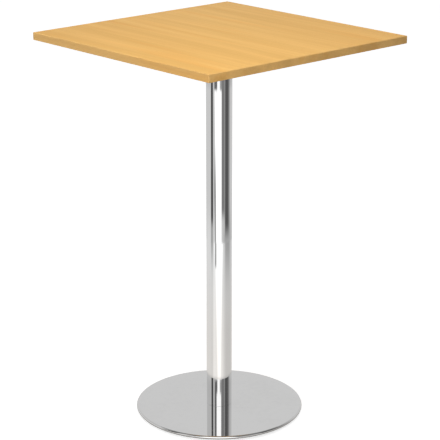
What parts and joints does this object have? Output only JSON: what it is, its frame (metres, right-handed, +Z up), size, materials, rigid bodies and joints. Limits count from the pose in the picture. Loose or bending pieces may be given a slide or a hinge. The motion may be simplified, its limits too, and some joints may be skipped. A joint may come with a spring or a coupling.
{
  "type": "standing meeting table",
  "caption": "Standing-height meeting table: square edged wood-decor top on a chromed round column and a flat round foot with levelling glides.",
  "frame": {"origin": "on the floor, under the middle of the column", "axes": "+Z up along the column, +X and +Y square to the sides of the top, the decor's grain along Y"},
  "size_m": [0.75, 0.75, 1.15],
  "materials": {
    "beech_board": "satin",
    "edging": "satin",
    "chrome": "polished",
    "black_coat": "matte",
    "plain_steel": "satin",
    "zinc": "satin",
    "nylon": "matte"
  },
  "bodies": {
    "table": {"top_board": "beech_board", "edge_front": "edging", "edge_right": "edging", "edge_back": "edging", "edge_left": "edging", "column_tube": "chrome", "base_cover": "chrome", "spider_hub": "black_coat", "spider_arm_1": "black_coat", "spider_arm_2": "black_coat", "spider_arm_3": "black_coat", "spider_arm_4": "black_coat", "base_weight": "black_coat", "column_head_plate": "plain_steel", "column_foot_plate": "plain_steel", "panel_screw_1": "zinc", "panel_screw_2": "zinc", "panel_screw_3": "zinc", "panel_screw_4": "zinc", "panel_screw_5": "zinc", "panel_screw_6": "zinc", "panel_screw_7": "zinc", "panel_screw_8": "zinc", "hub_bolt_1": "zinc", "hub_bolt_2": "zinc", "hub_bolt_3": "zinc", "hub_bolt_4": "zinc", "hub_washer_1": "zinc", "hub_washer_2": "zinc", "hub_washer_3": "zinc", "hub_washer_4": "zinc", "base_screw_1": "zinc", "base_screw_2": "zinc", "base_screw_3": "zinc", "base_screw_4": "zinc", "glide_bush_1": "zinc", "glide_bush_2": "zinc", "glide_bush_3": "zinc", "glide_bush_4": "zinc"},
    "glide_pad_1": {"glide_pad_1": "nylon"},
    "glide_stem_1": {"glide_stem_1": "zinc"},
    "glide_pad_2": {"glide_pad_2": "nylon"},
    "glide_stem_2": {"glide_stem_2": "zinc"},
    "glide_pad_3": {"glide_pad_3": "nylon"},
    "glide_stem_3": {"glide_stem_3": "zinc"},
    "glide_pad_4": {"glide_pad_4": "nylon"},
    "glide_stem_4": {"glide_stem_4": "zinc"}
  },
  "joints": [
    {"name": "glide_travel_1", "type": "slide", "parent": "table", "child": "glide_pad_1", "axis": [0, 0, -1], "range_m": [0, 0.004]},
    {"name": "glide_turn_1", "type": "hinge", "parent": "glide_pad_1", "child": "glide_stem_1", "pos_m": [0.14991, 0.14991, 0], "axis": [0, 0, -1], "range_deg": [0, 1152]},
    {"name": "glide_travel_2", "type": "slide", "parent": "table", "child": "glide_pad_2", "axis": [0, 0, -1], "range_m": [0, 0.004]},
    {"name": "glide_turn_2", "type": "hinge", "parent": "glide_pad_2", "child": "glide_stem_2", "pos_m": [-0.14991, 0.14991, 0], "axis": [0, 0, -1], "range_deg": [0, 1152]},
    {"name": "glide_travel_3", "type": "slide", "parent": "table", "child": "glide_pad_3", "axis": [0, 0, -1], "range_m": [0, 0.004]},
    {"name": "glide_turn_3", "type": "hinge", "parent": "glide_pad_3", "child": "glide_stem_3", "pos_m": [-0.14991, -0.14991, 0], "axis": [0, 0, -1], "range_deg": [0, 1152]},
    {"name": "glide_travel_4", "type": "slide", "parent": "table", "child": "glide_pad_4", "axis": [0, 0, -1], "range_m": [0, 0.004]},
    {"name": "glide_turn_4", "type": "hinge", "parent": "glide_pad_4", "child": "glide_stem_4", "pos_m": [0.14991, -0.14991, 0], "axis": [0, 0, -1], "range_deg": [0, 1152]}
  ],
  "couplings": [
    {"joint": "glide_travel_1", "follows": "glide_turn_1", "m_per_rad": 0.00019894},
    {"joint": "glide_travel_2", "follows": "glide_turn_2", "m_per_rad": 0.00019894},
    {"joint": "glide_travel_3", "follows": "glide_turn_3", "m_per_rad": 0.00019894},
    {"joint": "glide_travel_4", "follows": "glide_turn_4", "m_per_rad": 0.00019894}
  ]
}
